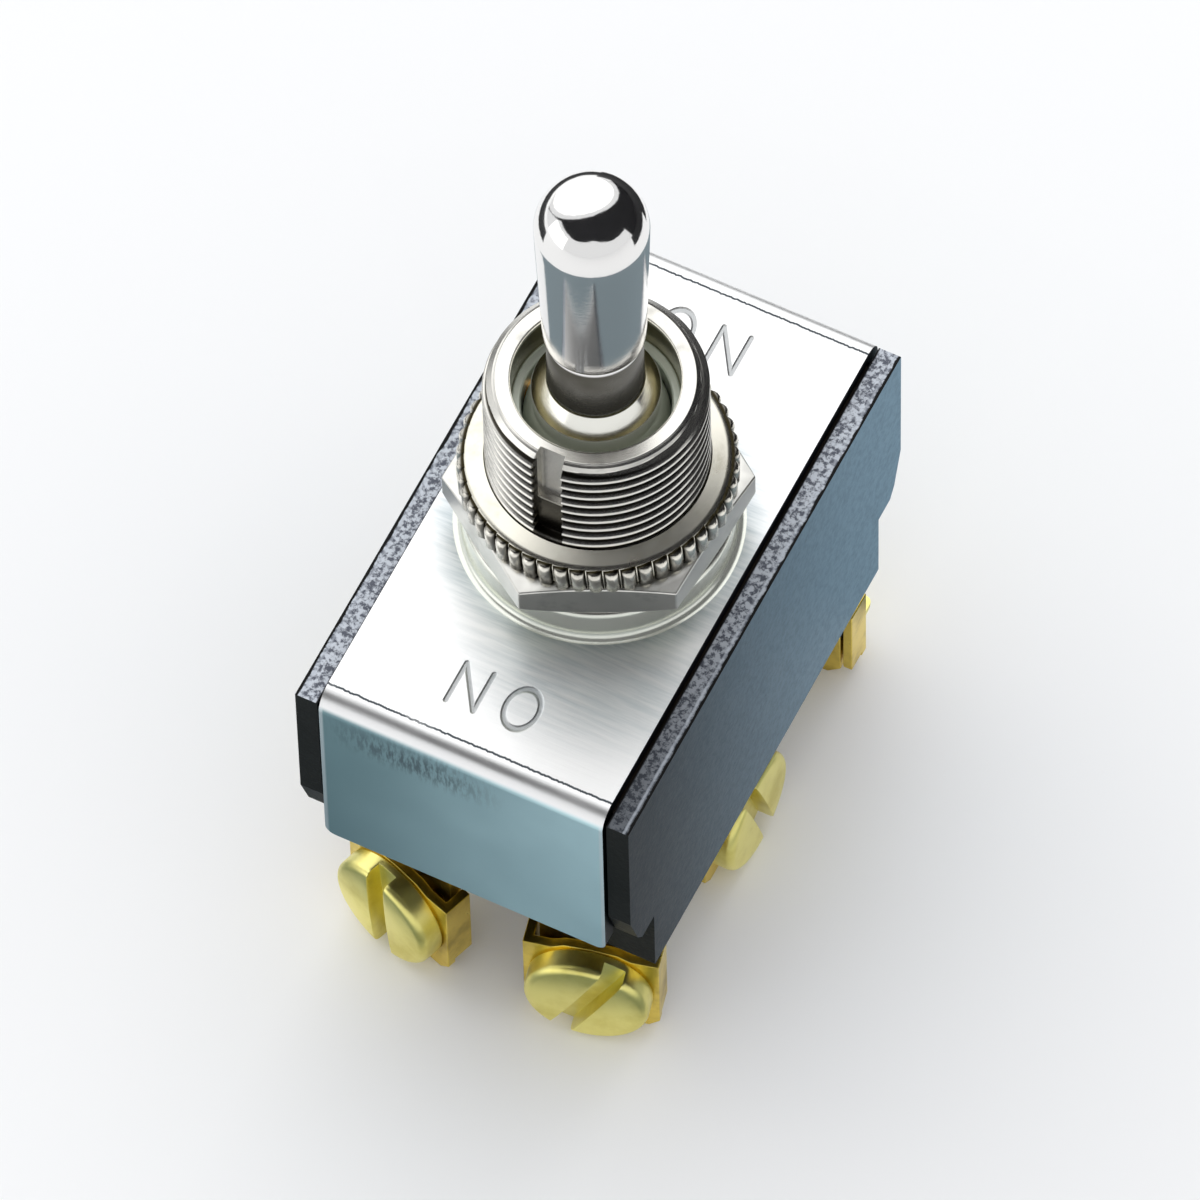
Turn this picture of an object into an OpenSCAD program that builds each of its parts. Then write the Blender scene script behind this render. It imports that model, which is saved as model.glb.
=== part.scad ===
// Heavy-duty double-pole bat-handle toggle switch with a threaded bushing and screw terminals.
// Units are millimetres. The origin is where the bushing's axis meets the frame's top face, +Z runs
// up the lever, Y is the body's long way (the lever throws along it) and X runs across the body.

/* [Which piece] */
// piece to draw, or all of them

/* [Frame] */
// width of the steel frame across the switch
frame_width = 16.6; // [14:0.1:19]
// length of the steel frame over the outsides of its two end flaps
frame_length = 32.8; // [31:0.1:36]
// thickness of the frame's steel strip
frame_sheet = 0.9; // [0.6:0.05:1.1]
// outside radius of the bends between the frame's top and its flaps
frame_bend = 1.2; // [1.1:0.05:1.8]
// how far the end flaps reach below the frame's top face
flap_drop = 13.8; // [13:0.1:14.4]
// radius of the flaps' lower corners
flap_corner = 0.6; // [0.2:0.05:1.5]
// width of the toe bent in from each flap's lower edge
toe_width = 4.2; // [2:0.1:8]
// how far each toe reaches under the moulded base
toe_reach = 1.5; // [0.8:0.1:1.8]

/* [Bushing] */
// radius over the bushing's thread
thread_radius = 5.953; // [5.6:0.01:6.1]
// radius where the nuts' threads meet the bushing's, halfway down the thread
engage_radius = 5.75; // [5.7:0.01:5.9]
// plain relief left in the thread above the ring nut
thread_relief = 0.2; // [0.15:0.05:0.4]
// height of the bushing's rim above the frame
bushing_height = 14.2; // [12:0.1:16]
// radius of the bushing's flat rim outside its bore
rim_radius = 5.3; // [5:0.05:5.5]
// height of the chamfer between the rim and the thread
rim_chamfer = 0.75; // [0.4:0.05:1.2]
// radius of the wide mouth that the lever swings in
mouth_radius = 4.45; // [4.2:0.05:4.7]
// depth of the wide mouth below the rim
mouth_depth = 2.3; // [1.5:0.1:3]
// radius of the round shoulder under the nuts
shoulder_radius = 7.3; // [6.8:0.05:8]
// height of the round shoulder above the frame
shoulder_height = 2.2; // [1.5:0.1:2.6]
// rounding where the shoulder meets the frame
shoulder_foot = 0.45; // [0.1:0.05:0.8]
// radius of the collar's bore under the ball
collar_inner = 3.4; // [3.3:0.05:3.5]
// height of the collar under the ball
collar_height = 2.2; // [2:0.05:2.3]
// radius of the spigot that is staked through the frame
spigot_radius = 6.2; // [6:0.05:6.5]
// radius of the staked lip below the frame
lip_radius = 6.8; // [6.6:0.05:7]
// radius of the wide lower bore that the lever's tail swings in
lower_bore_radius = 5.0; // [4.9:0.05:5.2]
// height above the frame where the wide lower bore ends
lower_bore_top = 5.0; // [4:0.1:6]
// width of the keyway in the thread
keyway_width = 1.7; // [1.2:0.05:2]
// radius of the keyway's floor
keyway_floor = 5.1; // [5:0.05:5.5]
// height above the frame where the keyway stops
keyway_bottom = 6.9; // [6:0.1:9]

/* [Nuts] */
// width across the flats of the hexagon nut
hex_flats = 14.3; // [13.5:0.1:16]
// thickness of the hexagon nut
hex_thick = 2.4; // [1.5:0.1:3]
// angle of the hexagon nut on the thread
hex_turn = 26; // [0:1:60]
// radius of the knurled ring nut
ring_radius = 7.45; // [7:0.05:8]
// thickness of the knurled ring nut
ring_thick = 2.15; // [1.5:0.05:3]
// width of the plain sloping band inside the ring nut's knurl
ring_bevel = 0.75; // [0.3:0.05:1]

/* [Lever] */
// height of the lever's tip above the frame
lever_height = 31.9; // [28:0.1:36]
// largest radius of the lever's bat, near its tip
bat_radius = 3.0; // [2.6:0.05:3.4]
// radius of the lever's bat at its lower shoulder
bat_foot_radius = 2.72; // [2.6:0.01:2.9]
// height of the bat's lower shoulder above the frame
bat_foot_height = 18.6; // [17:0.1:20]
// rounding of the bat's lower shoulder
bat_foot_round = 0.45; // [0.2:0.05:0.8]
// radius of the neck between the bat and the ball
neck_radius = 2.55; // [2.3:0.01:2.65]
// radius of the neck's flare where it meets the ball
flare_radius = 2.75; // [2.6:0.01:2.9]
// radius of the ball that the lever turns on
ball_radius = 3.9; // [3.6:0.05:4]
// height of the ball's centre, and so of the lever's pivot
pivot_height = 10.2; // [9.5:0.1:10.6]
// radius of the lever's tail
tail_radius = 1.8; // [1.4:0.05:1.9]
// how far the tail reaches below the frame's top face
tail_depth = 7.0; // [5:0.1:8]
// radius of the pivot pin through the ball
pin_radius = 0.8; // [0.6:0.05:0.9]
// half the pivot pin's length
pin_half = 4.9; // [4.6:0.05:4.95]
// largest angle of the lever either side of upright
throw_angle = 14; // [10:0.5:15]

/* [Base] */
// width of the moulded base
base_width = 19.5; // [19:0.1:22]
// how far the frame's flaps stand proud of the base's ends
base_step = 0.15; // [0:0.05:0.3]
// depth of the base's side strips below the frame's top face
strip_drop = 0.7; // [0.3:0.05:0.85]
// depth of the base's end ledges below the frame's top face
ledge_depth = 13.5; // [12.5:0.1:13.7]
// depth of the base's underside below the frame's top face
base_depth = 18.7; // [17.8:0.1:21]
// how far the deep middle block stands in from the base's ends
block_inset = 2.7; // [2.3:0.05:3]
// depth where the slanted lower ends of the base begin
end_slant_depth = 10.2; // [8:0.1:11.5]
// how far the slanted lower ends lean in
end_slant = 1.3; // [0.5:0.1:2]
// thickness of the base's floor
floor_thick = 2.5; // [1.8:0.1:3]
// half width of each pole's cavity
cavity_half_width = 3.0; // [2.95:0.01:3.04]
// wall left between each pole's cavity and the base's ends
cavity_wall = 3.65; // [3.45:0.05:3.85]
// depth of the top of the wall between the two poles
mid_wall_depth = 10.0; // [9.6:0.1:12]
// height of the pads under the end terminals
pad_height = 1.0; // [0.6:0.05:1.4]
// thickness of the fibre liner under the frame
liner_thick = 0.4; // [0.2:0.05:0.5]

/* [Contact system] */
// distance of each pole's centre from the switch's middle
pole_x = 5.4; // [5.2:0.05:5.6]
// depth of the rockers' pivot below the frame's top face
rocker_depth = 13.0; // [12.6:0.1:13.2]
// thickness of the rocker blades
rocker_thick = 0.8; // [0.6:0.05:1]
// width of the rocker blades
rocker_width = 3.8; // [3:0.1:4]
// length of each rocker arm
rocker_arm = 9.2; // [8.8:0.1:9.6]
// angle that each rocker arm rises at with the lever upright
rocker_rise = 10; // [9:0.5:12]
// angle the rockers turn at full throw
rocker_turn = 8; // [6:0.5:8]
// gap between a rocker blade and the ears of its cradle
ear_gap = 0.2; // [0.1:0.05:0.3]
// thickness of the ears of each cradle
ear_thick = 0.75; // [0.6:0.05:0.8]
// radius of the rockers' trunnions
trunnion_radius = 0.9; // [0.7:0.05:1]
// distance of the moving contacts from the rocker's pivot
contact_reach = 7.7; // [7.2:0.1:8]
// radius of the contact buttons
contact_radius = 1.5; // [1.2:0.05:1.7]
// height of the moving contact buttons
contact_height = 0.9; // [0.7:0.05:1.1]
// radius of the moving contacts' domed faces
contact_dome = 4; // [3:0.1:6]
// radius of the plungers and of their round tips
plunger_radius = 1.5; // [1.3:0.05:1.7]
// depth of the plungers' flat tops
plunger_top = 7.2; // [6.8:0.1:7.6]
// depth of the actuator's upper face
actuator_top = 3.2; // [3:0.1:3.8]
// depth of the actuator's lower face
actuator_bottom = 9.2; // [8.6:0.1:9.3]
// half length of the actuator along the throw
actuator_half = 2.9; // [2.5:0.05:3]
// wall of the actuator round each plunger
actuator_wall = 0.85; // [0.6:0.05:1]
// depth of the spring pockets' roofs
spring_roof = 4.2; // [4:0.1:4.6]
// radius of the spring wire
wire_radius = 0.2; // [0.15:0.01:0.25]
// number of turns in each spring
spring_turns = 4; // [3:1:6]

/* [Terminals] */
// thickness of the terminals' brass strip
brass_sheet = 0.8; // [0.6:0.05:0.9]
// width of the terminals' tabs where they leave the base
tab_width = 4.4; // [3.6:0.1:4.8]
// width of the terminals' screw plates
plate_width = 6.1; // [5.6:0.1:6.4]
// depth of the screw plates' shoulders
plate_top = 20.2; // [19.6:0.1:21]
// depth of the screw plates' lower ends
plate_bottom = 28.0; // [27:0.1:29]
// how far the end terminals' outer faces stand in from the base's ends
end_inset = 3.95; // [3.85:0.05:4.15]
// distance of the middle terminals' outer faces from the middle, across the body
middle_face = 6.8; // [6.4:0.05:7]
// depth of the terminal screws' axes
screw_depth = 24.3; // [24:0.1:24.8]
// angle that the left near terminal is twisted to
twist_near_left = -19; // [-25:1:25]
// angle that the right near terminal is twisted to
twist_near_right = 13; // [-25:1:25]
// width of the clamp plates over their lips
clamp_width = 7.5; // [7.3:0.1:8]
// height of the clamp plates
clamp_height = 6.9; // [6:0.1:7]
// thickness of the clamp plates
clamp_thick = 0.55; // [0.4:0.05:0.7]
// corner cut off the clamp plates' lower corners
clamp_corner = 0.6; // [0.3:0.05:0.8]
// height of the clamp plates' arched top over its corners
clamp_arch = 0.5; // [0:0.1:0.8]
// gap for a wire between a clamp plate and its terminal
wire_gap = 0.45; // [0.3:0.05:0.8]
// radius of the terminal screws' heads
head_radius = 3.45; // [3:0.05:3.6]
// height of the terminal screws' heads
head_height = 1.5; // [1.2:0.05:1.8]
// rounding of the screw heads' rims
head_round = 0.7; // [0.3:0.05:0.9]
// width of the screw slots
slot_width = 1.1; // [0.8:0.05:1.3]
// depth of the screw slots
slot_depth = 0.85; // [0.5:0.05:1]
// radius of the terminal screws' shanks
shank_radius = 1.7; // [1.5:0.05:1.8]
// length of the terminal screws' shanks
shank_length = 4.2; // [3:0.1:4.6]

/* [Fits] */
// running clearance of turning and sliding pieces, on the radius
run_gap = 0.05; // [0.02:0.01:0.1]
// gap between the frame's edges and the base's strips
strip_gap = 0.15; // [0.05:0.01:0.3]
// gap round the terminals' tabs in the base's slots
tab_gap = 0.1; // [0.02:0.01:0.2]
// gap between a closed pair of contact faces
contact_gap = 0.08; // [0.05:0.01:0.15]
// gap kept between a plunger's tip and its rocker
plunger_gap = 0.2; // [0.18:0.01:0.25]

/* [Hidden] */
$fn = 48;
e = 0.01;
frame_half = frame_length / 2;
flap_in = frame_half - frame_sheet;
base_length = frame_length - 2 * base_step;
block_half = base_length / 2 - block_inset;
cavity_half_length = base_length / 2 - cavity_wall;
end_face = base_length / 2 - end_inset;
strip_in = frame_width / 2 + strip_gap;
liner_depth = frame_sheet + liner_thick;
floor_z = -(base_depth - floor_thick);
pad_z = floor_z + pad_height;
hex_bottom = shoulder_height;
ring_bottom = hex_bottom + hex_thick;
thread_top = bushing_height - rim_chamfer;
thread_foot = ring_bottom + ring_thick + thread_relief;
mouth_floor = bushing_height - mouth_depth;
ball_bore = ball_radius + run_gap;
slot_half = pin_radius + run_gap;
collar_top = pivot_height - sqrt(ball_radius * ball_radius - collar_inner * collar_inner) - run_gap;
toe_top = -(flap_drop - frame_sheet);
rz = -rocker_depth;
ear_in = rocker_width / 2 + ear_gap;
trunnion_half = ear_in + ear_thick;
ear_out = trunnion_half;
// the plunger's tip sphere rests this high over the rocker's pivot, clear of both arms
tip_z = rz + (rocker_thick + plunger_radius + plunger_gap) / cos(rocker_rise);
// height of the lowest point of a moving contact's dome at full throw
closed_rise = rocker_rise - rocker_turn;
dome_centre = contact_dome - contact_height;
closed_z = rz + contact_reach * sin(closed_rise) + dome_centre * cos(closed_rise) - contact_dome;
fixed_top = closed_z - contact_gap;
plate_mid = end_face - brass_sheet / 2;
side_mid = middle_face - brass_sheet / 2;
spring_top = -spring_roof;
spring_foot = -plunger_top;
spring_radius = plunger_radius - wire_radius - 0.15;

// a box from its low and high corners
module span(a, b) { translate(a) cube(b - a); }

// a bar along X, centred on x
module bar_x(x, y, z, r, half) { translate([x - half, y, z]) rotate([0, 90, 0]) cylinder(r = r, h = 2 * half); }

// the strip bent into a top and two flaps, drawn from the side and run across the switch
module frame_side() {
    translate([-frame_half + frame_bend, -frame_sheet]) square([frame_length - 2 * frame_bend, frame_sheet]);
    for (s = [-1, 1]) scale([s, 1]) {
        translate([flap_in, -flap_drop]) square([frame_sheet, flap_drop - frame_bend]);
        intersection() {
            difference() {
                translate([frame_half - frame_bend, -frame_bend]) circle(frame_bend);
                translate([frame_half - frame_bend, -frame_bend]) circle(frame_bend - frame_sheet);
            }
            translate([frame_half - frame_bend, -frame_bend]) square([frame_bend, frame_bend]);
        }
    }
}

module frame() color([0.82, 0.83, 0.85]) {
    difference() {
        rotate([90, 0, 90]) translate([0, 0, -frame_width / 2]) linear_extrude(frame_width) frame_side();
        translate([0, 0, -frame_sheet - 1]) cylinder(r = spigot_radius, h = frame_sheet + 2);
        for (s = [-1, 1], t = [-1, 1]) translate([s * frame_width / 2, 0, -flap_drop]) difference() {
            span([-flap_corner, t * frame_half - 2, -1], [flap_corner, t * frame_half + 2, flap_corner]);
            translate([-s * flap_corner, t * frame_half + 3, flap_corner]) rotate([90, 0, 0])
                cylinder(r = flap_corner, h = 6);
        }
    }
    for (t = [-1, 1]) translate([-toe_width / 2, t > 0 ? flap_in - toe_reach : -flap_in, -flap_drop])
        cube([toe_width, toe_reach, frame_sheet]);
}

module bushing_profile() {
    polygon([[lower_bore_radius, -liner_depth], [lip_radius, -liner_depth], [lip_radius, -frame_sheet],
        [spigot_radius, -frame_sheet], [spigot_radius, 0], [shoulder_radius + shoulder_foot, 0],
        [shoulder_radius + shoulder_foot * 0.3, shoulder_foot * 0.3], [shoulder_radius, shoulder_foot],
        [shoulder_radius, shoulder_height - 0.35], [shoulder_radius - 0.12, shoulder_height - 0.12],
        [shoulder_radius - 0.35, shoulder_height], [engage_radius, shoulder_height],
        [engage_radius, thread_foot], [thread_radius, thread_foot], [thread_radius, thread_top],
        [rim_radius, bushing_height], [mouth_radius + 0.2, bushing_height],
        [mouth_radius, bushing_height - 0.25], [mouth_radius, mouth_floor], [ball_bore, mouth_floor - 0.3],
        [ball_bore, lower_bore_top + 2.6], [mouth_radius, lower_bore_top + 2.2],
        [mouth_radius, lower_bore_top], [lower_bore_radius, lower_bore_top]]);
}

module bushing() color([0.80, 0.79, 0.74]) difference() {
    rotate_extrude() bushing_profile();
    span([-keyway_width / 2, -thread_radius - 1, keyway_bottom], [keyway_width / 2, -keyway_floor, bushing_height + 1]);
    bar_x(0, 0, pivot_height, slot_half, pin_half + run_gap);
    span([-pin_half - run_gap, -slot_half, lower_bore_top - 1], [pin_half + run_gap, slot_half, pivot_height]);
}

// the collar pressed in under the ball
module seat_collar() color([0.62, 0.62, 0.60]) difference() {
    translate([0, 0, lower_bore_top]) cylinder(r = mouth_radius, h = collar_height);
    translate([0, 0, lower_bore_top - 1]) cylinder(r = collar_inner, h = 5);
    translate([0, 0, pivot_height]) sphere(ball_bore);
}

module hex_nut() color([0.80, 0.79, 0.75]) translate([0, 0, hex_bottom]) difference() {
    intersection() {
        rotate([0, 0, hex_turn]) cylinder(r = hex_flats / sqrt(3), h = hex_thick, $fn = 6);
        rotate_extrude() polygon([[0, 0], [hex_flats / 2 - 0.1, 0], [hex_flats / 2 + 1.5, 0.55],
            [hex_flats / 2 + 1.5, hex_thick - 0.55], [hex_flats / 2 - 0.1, hex_thick], [0, hex_thick]]);
    }
    translate([0, 0, -1]) cylinder(r = engage_radius, h = hex_thick + 2);
}

module knurled_nut() color([0.82, 0.81, 0.77]) rotate_extrude() polygon([
    [engage_radius, ring_bottom], [ring_radius - 0.25, ring_bottom], [ring_radius, ring_bottom + 0.25],
    [ring_radius, ring_bottom + ring_thick - 0.55], [ring_radius - 0.4, ring_bottom + ring_thick - 0.1],
    [ring_radius - ring_bevel, ring_bottom + ring_thick], [engage_radius, ring_bottom + ring_thick]]);

module liner() color([0.20, 0.18, 0.17]) difference() {
    span([-frame_width / 2, -flap_in, -liner_depth], [frame_width / 2, flap_in, -frame_sheet]);
    for (s = [-1, 1]) span([-frame_width, s * flap_in - 0.4, -5], [frame_width, s * flap_in + 0.4, 0]);
    translate([0, 0, -5]) cylinder(r = lip_radius + 0.2, h = 5);
}

// the base seen from its side
module base_side() {
    h = base_length / 2;
    polygon([[-h, -strip_drop], [-h, -end_slant_depth], [-h + end_slant * 0.6, -ledge_depth + 0.75],
        [-h + end_slant, -ledge_depth], [-block_half, -ledge_depth], [-block_half, -base_depth],
        [block_half, -base_depth], [block_half, -ledge_depth], [h - end_slant, -ledge_depth],
        [h - end_slant * 0.6, -ledge_depth + 0.75], [h, -end_slant_depth], [h, -strip_drop]]);
}

module base() color([0.13, 0.13, 0.15]) difference() {
    rotate([90, 0, 90]) translate([0, 0, -base_width / 2]) linear_extrude(base_width) base_side();
    span([-strip_in, -base_length, -liner_depth], [strip_in, base_length, 1]);
    for (t = [-1, 1]) {
        span([-strip_in, t > 0 ? flap_in : -base_length, -flap_drop - 1],
            [strip_in, t > 0 ? base_length : -flap_in, 1]);
        span([-toe_width / 2 - tab_gap, t > 0 ? flap_in - toe_reach - tab_gap : -flap_in - 1, -ledge_depth - 1],
            [toe_width / 2 + tab_gap, t > 0 ? flap_in + 1 : -flap_in + toe_reach + tab_gap, toe_top]);
    }
    // room for both poles above the wall between them
    span([-pole_x - cavity_half_width, -cavity_half_length, -mid_wall_depth],
        [pole_x + cavity_half_width, cavity_half_length, 1]);
    for (s = [-1, 1]) {
        // each pole's own cavity, stepped up to the pads under its end terminals
        span([s * pole_x - cavity_half_width, -cavity_half_length, pad_z],
            [s * pole_x + cavity_half_width, cavity_half_length, -1]);
        span([s * pole_x - cavity_half_width, -4, floor_z], [s * pole_x + cavity_half_width, 4, -1]);
        // slots that the terminals' tabs leave by
        for (t = [-1, 1]) span([s * pole_x - tab_width / 2 - tab_gap, t * plate_mid - brass_sheet / 2 - tab_gap, -25],
            [s * pole_x + tab_width / 2 + tab_gap, t * plate_mid + brass_sheet / 2 + tab_gap, pad_z + 1]);
        span([s * side_mid - brass_sheet / 2 - tab_gap, -tab_width / 2 - tab_gap, -25],
            [s * side_mid + brass_sheet / 2 + tab_gap, tab_width / 2 + tab_gap, floor_z + 1]);
    }
}

// the bat, its neck, the ball and the tail
module lever() color([0.86, 0.86, 0.85]) {
    tip_z0 = lever_height - bat_radius;
    difference() {
        union() {
            rotate_extrude() polygon([[0, bat_foot_height - 3], [neck_radius, bat_foot_height - 3],
                [neck_radius, bat_foot_height], [bat_foot_radius - bat_foot_round * 0.7, bat_foot_height],
                [bat_foot_radius - bat_foot_round * 0.3, bat_foot_height + bat_foot_round * 0.12],
                [bat_foot_radius - bat_foot_round * 0.07, bat_foot_height + bat_foot_round * 0.45],
                [bat_foot_radius, bat_foot_height + bat_foot_round],
                [bat_radius, tip_z0], [0, tip_z0]]);
            translate([0, 0, tip_z0]) intersection() {
                sphere(bat_radius);
                translate([0, 0, -e]) cylinder(r = 2 * bat_radius, h = 2 * bat_radius);
            }
            rotate_extrude() polygon([[0, pivot_height], [flare_radius, pivot_height],
                [flare_radius, pivot_height + 3.2], [neck_radius, pivot_height + 5.2],
                [neck_radius, bat_foot_height - 2.9], [0, bat_foot_height - 2.9]]);
            translate([0, 0, pivot_height]) sphere(ball_radius);
            translate([0, 0, -tail_depth]) cylinder(r = tail_radius, h = tail_depth + pivot_height);
        }
        // cross slots either side of the neck, down to the pivot pin
        for (s = [-1, 1]) span([s > 0 ? flare_radius + 0.1 : -ball_radius - 1, -pin_radius, pivot_height],
            [s > 0 ? ball_radius + 1 : -flare_radius - 0.1, pin_radius, pivot_height + ball_radius]);
        bar_x(0, 0, pivot_height, pin_radius, ball_radius + 1);
    }
}

module pivot_pin() color([0.78, 0.60, 0.30]) bar_x(0, 0, pivot_height, pin_radius, pin_half);

// the moulded yoke on the lever's tail that carries one plunger over each pole
module actuator() color([0.80, 0.76, 0.66]) difference() {
    union() {
        span([-tail_radius - 1.6, -actuator_half, -actuator_bottom], [tail_radius + 1.6, actuator_half, -actuator_top]);
        span([-pole_x, -1.6, -actuator_bottom + 0.6], [pole_x, 1.6, -actuator_top - 0.3]);
        for (s = [-1, 1]) translate([s * pole_x, 0, -actuator_bottom])
            cylinder(r = plunger_radius + actuator_wall, h = actuator_bottom - actuator_top);
    }
    translate([0, 0, -tail_depth]) cylinder(r = tail_radius, h = tail_depth);
    for (s = [-1, 1]) translate([s * pole_x, 0, -actuator_bottom - 1])
        cylinder(r = plunger_radius + run_gap, h = actuator_bottom + 1 - spring_roof);
}

module plunger(s) color([0.70, 0.66, 0.58]) {
    translate([s * pole_x, 0, tip_z]) cylinder(r = plunger_radius, h = -plunger_top - tip_z);
    translate([s * pole_x, 0, tip_z]) intersection() {
        sphere(plunger_radius);
        translate([0, 0, -2 * plunger_radius]) cylinder(r = 2 * plunger_radius, h = 2 * plunger_radius + e);
    }
}
module plunger_left() plunger(-1);
module plunger_right() plunger(1);

// the flat slice through a coiled round wire, which the twist sweeps into the coil
module coil_slice(pitch) {
    polygon([for (k = [0:19]) let (r = spring_radius + wire_radius * cos(18 * k), a = 360 / pitch * wire_radius * sin(18 * k))
        [r * cos(a), r * sin(a)]]);
}

module spring(s) color([0.75, 0.75, 0.76]) translate([s * pole_x, 0, spring_foot])
    linear_extrude(height = spring_top - spring_foot, twist = -360 * spring_turns, slices = 12 * spring_turns)
        coil_slice((spring_top - spring_foot) / spring_turns);
module spring_left() spring(-1);
module spring_right() spring(1);

// one blade with two rising arms and a trunnion, on the terminal's cradle
module rocker(s) color([0.80, 0.58, 0.32]) {
    translate([s * pole_x, 0, rz]) {
        for (t = [-1, 1]) rotate([t * rocker_rise, 0, 0]) span([-rocker_width / 2, t > 0 ? -0.1 : -rocker_arm, 0],
            [rocker_width / 2, t > 0 ? rocker_arm : 0.1, rocker_thick]);
        bar_x(0, 0, 0, trunnion_radius, trunnion_half);
    }
}
module rocker_left() rocker(-1);
module rocker_right() rocker(1);

// the domed silver buttons under the ends of a rocker
module moving_contacts(s) color([0.88, 0.88, 0.86]) translate([s * pole_x, 0, rz])
    for (t = [-1, 1]) rotate([t * rocker_rise, 0, 0]) translate([0, t * contact_reach, 0]) intersection() {
        translate([0, 0, -2]) cylinder(r = contact_radius, h = 2);
        translate([0, 0, dome_centre]) sphere(contact_dome);
    }
module moving_contacts_left() moving_contacts(-1);
module moving_contacts_right() moving_contacts(1);

module fixed_contacts() color([0.88, 0.88, 0.86]) for (s = [-1, 1], t = [-1, 1])
    translate([s * pole_x, t * contact_reach, pad_z + brass_sheet])
        cylinder(r = contact_radius, h = fixed_top - pad_z - brass_sheet);

// the screw plate of a terminal, facing -Y, on the axis of its tab
module screw_plate() difference() {
    span([-plate_width / 2, -brass_sheet / 2, -plate_bottom], [plate_width / 2, brass_sheet / 2, -plate_top]);
    translate([0, 1, -screw_depth]) rotate([90, 0, 0]) cylinder(r = shank_radius, h = 2);
    for (s = [-1, 1]) translate([s * plate_width / 2, 0, -plate_bottom]) rotate([0, 45, 0]) cube([1.1, 3, 1.1], center = true);
}

// the strip from just above a terminal's shoulders up to its foot inside the base
module tab(top) span([-tab_width / 2, -brass_sheet / 2, -plate_top - 0.3], [tab_width / 2, brass_sheet / 2, top]);

module end_terminal(s, t, turn) color([0.80, 0.66, 0.28]) {
    translate([s * pole_x, t * plate_mid, 0]) {
        tab(pad_z + brass_sheet);
        rotate([0, 0, (t > 0 ? 180 : 0) + turn]) screw_plate();
    }
    span([s * pole_x - tab_width / 2, t > 0 ? contact_reach - 2.1 : -plate_mid, pad_z],
        [s * pole_x + tab_width / 2, t > 0 ? plate_mid : -contact_reach + 2.1, pad_z + brass_sheet]);
}

module middle_terminal(s) color([0.80, 0.66, 0.28]) {
    translate([s * side_mid, 0, 0]) rotate([0, 0, s * 90]) {
        tab(floor_z + brass_sheet);
        screw_plate();
    }
    translate([s * pole_x, 0, 0]) difference() {
        union() {
            span([-ear_out, -2, floor_z], [ear_out, 2, floor_z + brass_sheet]);
            for (k = [-1, 1]) span([k > 0 ? ear_in : -ear_out, -2, floor_z], [k > 0 ? ear_out : -ear_in, 2, rz + 1.1]);
        }
        bar_x(0, 0, rz, trunnion_radius + run_gap, ear_out + 1);
        span([-ear_out - 1, -trunnion_radius - run_gap, rz], [ear_out + 1, trunnion_radius + run_gap, rz + 3]);
    }
}

module terminal_left_near() end_terminal(-1, -1, twist_near_left);
module terminal_left_middle() middle_terminal(-1);
module terminal_left_far() end_terminal(-1, 1, 0);
module terminal_right_near() end_terminal(1, -1, twist_near_right);
module terminal_right_middle() middle_terminal(1);
module terminal_right_far() end_terminal(1, 1, 0);

// the arched plate that clamps a wire, with side lips that reach back round the terminal
module clamp_shape() {
    y1 = -brass_sheet / 2 - wire_gap;
    top = -screw_depth + clamp_height / 2;
    difference() {
        union() {
            translate([0, y1, 0]) rotate([90, 0, 0]) linear_extrude(clamp_thick) polygon([
                [-clamp_width / 2, top - clamp_arch], [-tab_width / 2, top - clamp_arch], [-tab_width / 3, top - clamp_arch * 0.2],
                [0, top], [tab_width / 3, top - clamp_arch * 0.2], [tab_width / 2, top - clamp_arch],
                [clamp_width / 2, top - clamp_arch], [clamp_width / 2, top - clamp_height + clamp_corner],
                [clamp_width / 2 - clamp_corner, top - clamp_height], [clamp_corner - clamp_width / 2, top - clamp_height],
                [-clamp_width / 2, top - clamp_height + clamp_corner]]);
            for (k = [-1, 1]) span([k > 0 ? clamp_width / 2 - clamp_thick : -clamp_width / 2, y1 - 0.1, top - clamp_height + clamp_corner * 1.5],
                [k > 0 ? clamp_width / 2 : -clamp_width / 2 + clamp_thick, brass_sheet / 2, top - clamp_arch]);
        }
        translate([0, 1, -screw_depth]) rotate([90, 0, 0]) cylinder(r = shank_radius, h = 4);
    }
}

// a round-headed slotted screw, facing -Y
module screw_shape(turn) {
    y1 = -brass_sheet / 2 - wire_gap - clamp_thick;
    translate([0, y1, -screw_depth]) rotate([90, 0, 0]) difference() {
        union() {
            rotate_extrude() polygon([[0, 0], [head_radius - 0.1, 0], [head_radius, 0.15],
                [head_radius, head_height - head_round], [head_radius - head_round * 0.12, head_height - head_round * 0.5],
                [head_radius - head_round * 0.45, head_height - head_round * 0.15],
                [head_radius - head_round, head_height], [0, head_height + 0.15]]);
            translate([0, 0, -shank_length]) cylinder(r = shank_radius, h = shank_length + e);
        }
        rotate([0, 0, turn]) span([-slot_width / 2, -5, head_height - slot_depth], [slot_width / 2, 5, 5]);
    }
}

module clamp_end(s, t, turn) color([0.83, 0.69, 0.30]) translate([s * pole_x, t * plate_mid, 0])
    rotate([0, 0, (t > 0 ? 180 : 0) + turn]) clamp_shape();
module clamp_middle(s) color([0.83, 0.69, 0.30]) translate([s * side_mid, 0, 0]) rotate([0, 0, s * 90]) clamp_shape();
module clamp_left_near() clamp_end(-1, -1, twist_near_left);
module clamp_left_middle() clamp_middle(-1);
module clamp_left_far() clamp_end(-1, 1, 0);
module clamp_right_near() clamp_end(1, -1, twist_near_right);
module clamp_right_middle() clamp_middle(1);
module clamp_right_far() clamp_end(1, 1, 0);

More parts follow.
